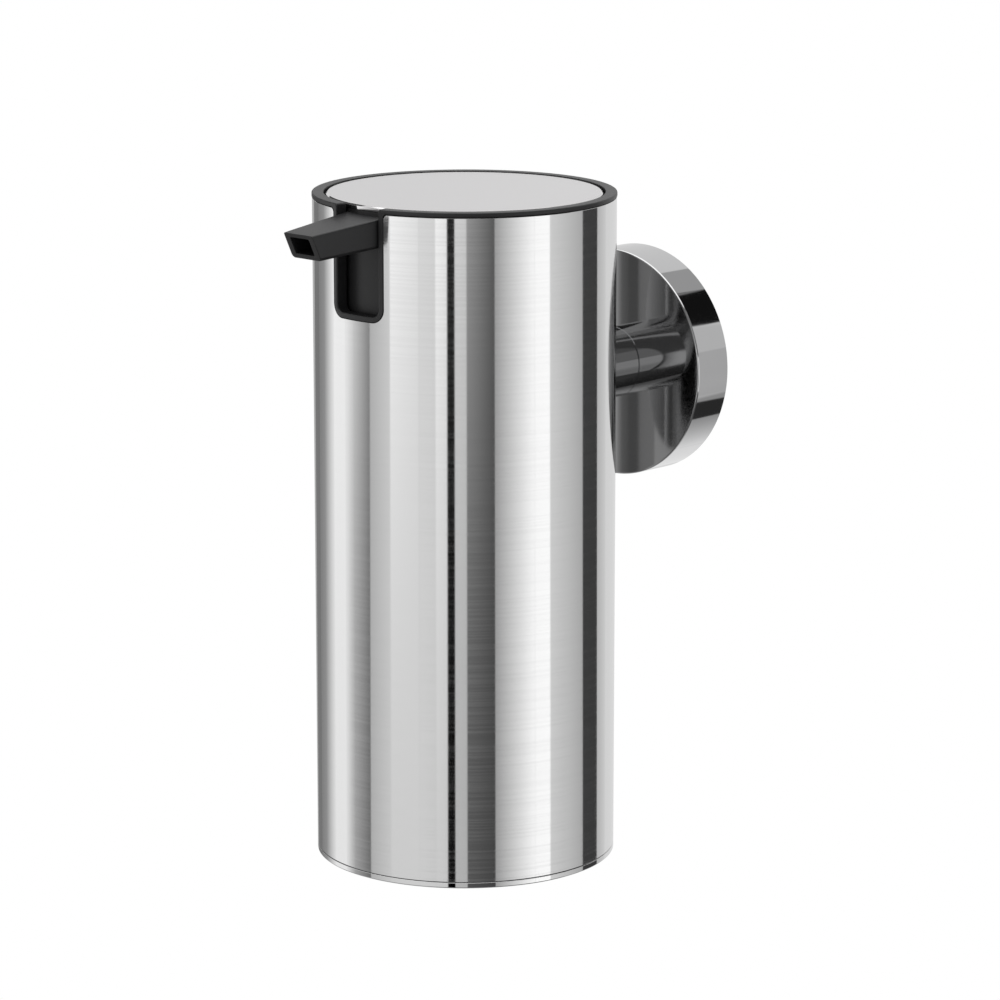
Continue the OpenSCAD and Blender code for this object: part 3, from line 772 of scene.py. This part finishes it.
def make_trim_insert(material):
    """Black moulding: ring and slot frame, sleeve, well floor and the ribbed hub for the bottle's neck."""
    sleeve_top = -RING_H
    hub_foot = FLANGE_TOP - HUB_LEN
    collar_hole = 10.2
    chain = rounded([(WELL_R, FLOOR_TOP, 0.6), (WELL_R, sleeve_top - 0.2), (WELL_R + 0.4, sleeve_top),
                     (SLEEVE_R, sleeve_top), (SLEEVE_R, FLANGE_TOP, 0.9), (HUB_RO, FLANGE_TOP, 0.5),
                     (HUB_RO, hub_foot, 0.4), (HUB_RI, hub_foot, 0.4), (HUB_RI, FLANGE_TOP, 0.3),
                     (collar_hole, FLANGE_TOP, 0.2), (collar_hole, FLOOR_TOP, 0.2)], closed=True, steps=4)
    bm = bmesh.new()
    lathe_into(bm, chain, body_place, segments=240)
    insert = finish_mesh(bm, "trim", material, weighted=False)
    hidden = 0.6                                  # the sleeve's cut lies inside the frame
    outline = u_outline(SLOT_HALF + hidden, SLOT_FOOT - hidden, FRAME_CORNER - FRAME_W + hidden, 2)
    carve(insert, [slot_cutter("cut_slot", outline, *THROUGH_FRONT)])
    bm = bmesh.new()
    bm.from_mesh(insert.data)
    trim_band(bm)
    ribs = 24
    root, edge, root_half, edge_half = HUB_RO - 0.3, HUB_RO + 0.4, 0.6, 0.45
    rib = rounded([(root, -root_half), (edge, -edge_half, 0.2), (edge, edge_half, 0.2), (root, root_half)],
                  steps=3)
    for k in range(ribs):
        prism_into(bm, rotated(rib, 360 / ribs * k), body_place, hub_foot + 0.3, FLANGE_TOP - 1.2)
    bmesh.ops.recalc_face_normals(bm, faces=bm.faces)
    bm.to_mesh(insert.data)
    bm.free()
    reshade(insert, 40)
    done(insert, "pump", "black_plastic", "trim_insert")


def make_housing(material):
    """Pump cylinder with collar, flange, tapered ball chamber and dip tube socket."""
    foot = HOUSING_LO.z - TOP_Z
    top = HOUSING_HI.z - TOP_Z
    flange = FLANGE_TOP - 0.05
    flange_r, flange_foot = 15.2, flange - 1.35
    collar_in, collar_out, seal_foot = 8.3, 9.8, top - 2.6
    outer_r, outer_foot, bore_r, bore_foot = 8, -78.5, 6.5, -77.5
    nose_r, nose_top = 4.2, -82.5
    socket_r, socket_top = 2.75, foot + 7.5
    inlet_r, seat_top, chamber_r, chamber_foot = 1.6, -83.5, 3, -82.1
    neck_r, neck_foot, chamber_top = 2.3, -78.1, -78.4
    chain = rounded([(collar_in, seal_foot), (collar_in, top, 0.2), (collar_out, top, 0.3),
                     (collar_out, flange, 0.1), (flange_r, flange, 0.3), (flange_r, flange_foot, 0.3),
                     (outer_r, flange_foot, 0.6), (outer_r, outer_foot, 0.8), (nose_r, nose_top, 0.8),
                     (nose_r, foot, 0.4), (socket_r, foot, 0.15), (socket_r, socket_top),
                     (inlet_r, socket_top), (inlet_r, seat_top), (chamber_r, chamber_foot),
                     (chamber_r, chamber_top), (neck_r, neck_foot), (neck_r, bore_foot),
                     (bore_r, bore_foot), (bore_r, seal_foot)],
                    closed=True, steps=4)
    bm = bmesh.new()
    lathe_into(bm, chain, body_place, segments=128)
    done(finish_mesh(bm, "cylinder", material), "pump", "white_plastic", "pump_housing")


def make_dip_tube(material):
    """Suction tube, its end cut aslant."""
    foot, top = DIP_LO.z - TOP_Z, DIP_HI.z - TOP_Z
    outer, inner, slant = 2.7, 1.9, 1.5
    chain = rounded([(outer, foot + slant), (outer, top, 0.15), (inner, top, 0.15), (inner, foot + slant)],
                    closed=True, steps=3)
    bm = bmesh.new()
    rings = lathe_into(bm, chain, body_place, segments=64)
    for ring in (rings[0], rings[-1]):
        for vert in ring:
            vert.co.z += (vert.co.y / MM - AXIS_Y) / outer * slant * MM
    done(finish_mesh(bm, "suction_tube", material), "pump", "bottle_plastic", "dip_tube")


def helix_tube(bm, place, turns, coil_r, wire_r, height, sides=12, steps=40):
    """Closed round tube along a helix; height(t) is the wire's centre after the share t of the turns."""
    rings = []
    count = int(turns * steps)
    for i in range(count + 1):
        t = i / count
        angle = t * turns * 2 * math.pi
        ring = []
        for j in range(sides):
            b = 2 * math.pi * j / sides
            r = coil_r + wire_r * math.cos(b)
            h = height(t) + wire_r * math.sin(b)
            ring.append(bm.verts.new(place(r * math.cos(angle), r * math.sin(angle), h)))
        rings.append(ring)
    for one, two in zip(rings, rings[1:]):
        bridge(bm, one, two)
    bm.faces.new(rings[0])
    bm.faces.new(rings[-1])


def make_spring(material):
    """Return spring with closed ends."""
    low, high = (corner.z / MM - TOP_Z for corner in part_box("return_spring"))
    wire, coil, turns, flat = 0.45, 4.9, 8, 0.9
    span = high - low - 2 * wire

    def height(t):
        done_turns = t * turns
        lead = 2 * wire
        if done_turns < flat:
            rise = done_turns / flat * lead
        elif done_turns > turns - flat:
            rise = span - (turns - done_turns) / flat * lead
        else:
            rise = lead + (done_turns - flat) / (turns - 2 * flat) * (span - 2 * lead)
        return low + wire + rise

    bm = bmesh.new()
    helix_tube(bm, body_place, turns, coil, wire, height)
    spring = finish_mesh(bm, "spring", material, weighted=False)
    done(spring, "pump", "spring_steel", "return_spring")
    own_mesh(spring)


def make_bottle(material):
    """Blown bottle with a raised floor, a round shoulder and a threaded neck."""
    foot, lip = BOTTLE_LO.z - TOP_Z, BOTTLE_HI.z - TOP_Z
    radius = (BOTTLE_HI.x - BOTTLE_LO.x) / 2
    wall, neck, mouth, shoulder = 1.2, 15.4, 13.4, FLANGE_TOP - HUB_LEN - 3.1
    ring, dish, punt = 22, 20, foot + 1.5
    chain = rounded([(mouth, lip, 0.3), (neck, lip, 0.3), (neck, shoulder, 2), (radius, shoulder, 8),
                     (radius, foot, 4), (ring, foot, 1.5), (dish, punt, 1.5), (0, punt), (0, punt + wall),
                     (dish + 0.7, punt + wall, 1.2), (ring + 0.7, foot + wall, 1.2),
                     (radius - wall, foot + wall, 4 - wall), (radius - wall, shoulder - wall, 8 - wall),
                     (mouth, shoulder - wall, 1.6)], closed=True, steps=8)
    bm = bmesh.new()
    lathe_into(bm, chain, body_place, closed=True, segments=160)
    turns, pitch, thread_top, thread_r = 2.25, 2.6, lip - 2.4, 0.85

    def height(t):
        return thread_top - t * turns * pitch

    helix_tube(bm, body_place, turns, neck, thread_r, height, sides=10, steps=64)
    done(finish_mesh(bm, "refill_bottle", material), "reservoir", "bottle_plastic", "bottle")


# ---------------------------------------------------------------- pieces of the head
def make_disc(material):
    """Satin disc with a turned-down rim and a fine bevel."""
    turn, under, foot = DISC_R - DISC_T, DISC_TOP - DISC_T, DISC_TOP - DISC_RIM
    bevel_foot = DISC_TOP - 0.25
    chain = rounded([(0, under), (turn, under), (turn, foot), (DISC_R, foot, 0.1),
                     (DISC_R, bevel_foot, 0.06), (DISC_R - DISC_BEVEL, DISC_TOP, 0.06), (0, DISC_TOP)],
                    steps=4)
    bm = bmesh.new()
    lathe_into(bm, chain, body_place, closed=False, segments=360)
    done(finish_mesh(bm, "disc", material), "head", "satin_steel", "top_disc")


def make_head(material):
    """Black inverted cup with its hub, and ribs under the top plate."""
    top = DISC_TOP - DISC_T - 0.05
    edge = DISC_TOP - DISC_RIM - 0.05
    plateau = DISC_R - 0.6
    inner = SKIRT_R - SKIRT_T
    plate_foot = top - 1.95
    hub, hub_foot, socket, socket_top = 6, -21.5, 3.55, -9.4
    chain = rounded([(0, top), (plateau, top, 0.1), (plateau, edge), (SKIRT_R, edge, 0.1),
                     (SKIRT_R, SKIRT_FOOT, 0.3), (inner, SKIRT_FOOT, 0.3), (inner, plate_foot, 0.6),
                     (hub, plate_foot, 0.6), (hub, hub_foot, 0.3), (socket, hub_foot, 0.2),
                     (socket, socket_top), (0, socket_top)], steps=4)
    bm = bmesh.new()
    lathe_into(bm, chain, body_place, closed=False, segments=240)
    rib_foot, rib_in, rib_out, rib_half = -9, hub - 0.2, inner + 0.2, 0.6
    rib = [(rib_in, -rib_half), (rib_out, -rib_half), (rib_out, rib_half), (rib_in, rib_half)]
    for angle in (30, 90, 150, 210, 330):
        prism_into(bm, rotated(rib, angle), body_place, rib_foot, plate_foot + 0.3)
    done(finish_mesh(bm, "head", material), "head", "black_plastic", "pump_head")


def rounded_box(half_w, low, high, top_r, foot_r, steps=6):
    """Closed loop of a box section with separate upper and lower corner radii: points (x, z)."""
    return (arc_points(half_w - top_r, high - top_r, top_r, 0, 90, steps)
            + arc_points(-half_w + top_r, high - top_r, top_r, 90, 180, steps)
            + arc_points(-half_w + foot_r, low + foot_r, foot_r, 180, 270, steps)
            + arc_points(half_w - foot_r, low + foot_r, foot_r, 270, 360, steps))


def spout_loop(bm, share, inset_x, inset_top, inset_foot, top_r, foot_r, back=0.0):
    """Ring of the spout at a share of its length, drawn in by insets; back moves it inwards."""
    length = SPOUT_REACH - SPOUT_ROOT_Y
    slope_w = (TIP_W - SPOUT_W) / 2 / (SPOUT_REACH - SPOUT_REF_Y)
    half = SPOUT_W / 2 + slope_w * (SPOUT_ROOT_Y - SPOUT_REF_Y) + slope_w * length * share
    tip_top = SPOUT_TOP - TOP_FALL * (SPOUT_REACH - SPOUT_REF_Y)
    root_top = SPOUT_TOP + TOP_FALL * (SPOUT_REF_Y - SPOUT_ROOT_Y)
    high = root_top + (tip_top - root_top) * share
    root_foot = SPOUT_TOP - SPOUT_H + FOOT_FALL * (SPOUT_REF_Y - SPOUT_ROOT_Y)
    low = root_foot + (tip_top - TIP_H - root_foot) * share
    ring = []
    for x, z in rounded_box(half - inset_x, low + inset_foot, high - inset_top, top_r, foot_r):
        rise = (z - low) / (high - low)
        reach = SPOUT_ROOT_Y + (SPOUT_REACH - TIP_RAKE * (1 - rise) - SPOUT_ROOT_Y) * share - back
        ring.append(bm.verts.new(body_place(x, -reach, z)))
    return ring


def make_spout(material):
    """Tapered spout with a slanted, hollow mouth."""
    side_wall, top_wall, foot_wall = 1.65, 0.95, 1.15
    top_r, foot_r, lip, back = 0.45, 0.95, 0.2, 0.02
    bm = bmesh.new()
    outer = [spout_loop(bm, k / 12, 0, 0, 0, top_r, foot_r) for k in range(12)]
    outer.append(spout_loop(bm, 1, 0, 0, 0, top_r, foot_r, lip + back))
    for k in range(1, 4):
        a = math.pi / 2 * k / 3
        inset = lip * (1 - math.cos(a))
        outer.append(spout_loop(bm, 1, inset, inset, inset, 0.4, 0.85, lip * (1 - math.sin(a)) + back))
    inner = [spout_loop(bm, 1, side_wall - 0.15, top_wall - 0.12, foot_wall - 0.12, 0.4, 0.4, back),
             spout_loop(bm, 1, side_wall - 0.05, top_wall - 0.04, foot_wall - 0.04, 0.35, 0.35, 0.06),
             spout_loop(bm, 1, side_wall, top_wall, foot_wall, 0.3, 0.3, 0.2)]
    inner += [spout_loop(bm, k / 8, side_wall, top_wall, foot_wall, 0.3, 0.3) for k in range(7, -1, -1)]
    rings = outer + inner
    for one, two in zip(rings, rings[1:]):
        bridge(bm, one, two)
    bm.faces.new(rings[0])
    bm.faces.new(rings[-1])
    done(finish_mesh(bm, "spout_shell", material, sharp=50), "head", "black_plastic", "spout")


# ---------------------------------------------------------------- stage
def make_floor():
    """Plain pale floor well below the wall mounted object."""
    bm = bmesh.new()
    steps, radius, height = 64, 2.0, -1.1         # metres
    angles = [2 * math.pi * k / steps for k in range(steps)]
    bm.faces.new([bm.verts.new((radius * math.cos(a), radius * math.sin(a), height)) for a in angles])
    material, n, shader = new_material("floor", (0.86, 0.86, 0.86), 0, 0.8)
    cloud = n.noise(n.stretched((0.004, 0.004, 0.004)), 1, 2, 0.5)
    tint(n, shader, cloud, (0.84, 0.84, 0.84), (0.88, 0.88, 0.88))
    floor = finish_mesh(bm, "floor", material, weighted=False)
    floor.visible_glossy = False


CARRIED = {
    "grub_screw": "dark_screw",
    "rosette_screw": "fastener_steel",
    "lock_washer": "fastener_steel",
    "saddle_washer": "fastener_steel",
    "shell_screw": "fastener_steel",
    "neck_gasket": "seal_rubber",
    "stem_seal": "seal_rubber",
    "retainer_nut": "white_plastic",
    "inlet_ball": "fastener_steel",
    "outlet_tube": "seal_rubber",
    "stem": "white_plastic",
    "piston": "white_plastic",
    "valve_seat": "white_plastic",
    "outlet_ball": "fastener_steel",
}


def dress_carried(materials):
    """Gives the CAD nodes that stay their materials."""
    for node, name in CARRIED.items():
        mesh_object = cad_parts[node]
        if not mesh_object.material_slots:
            mesh_object.data.materials.append(materials[name])
        for holder in mesh_object.material_slots:
            holder.material = materials[name]


def main():
    scene = bpy.context.scene
    scene.view_settings.view_transform = "Standard"
    scene.view_settings.look = "None"
    make_camera()
    make_world()
    materials = make_materials()
    make_shell(materials["brushed_steel"])
    make_base_cap(materials["turned_steel"])
    make_neck(materials["polished_steel"])
    make_rosette(materials["polished_steel"])
    make_wall_plate(materials["cast_plate"])
    make_trim_insert(materials["black_plastic"])
    make_housing(materials["white_plastic"])
    make_dip_tube(materials["bottle_plastic"])
    make_spring(materials["spring_steel"])
    make_bottle(materials["bottle_plastic"])
    make_disc(materials["satin_steel"])
    make_head(materials["black_plastic"])
    make_spout(materials["black_plastic"])
    dress_carried(materials)
    make_floor()


main()
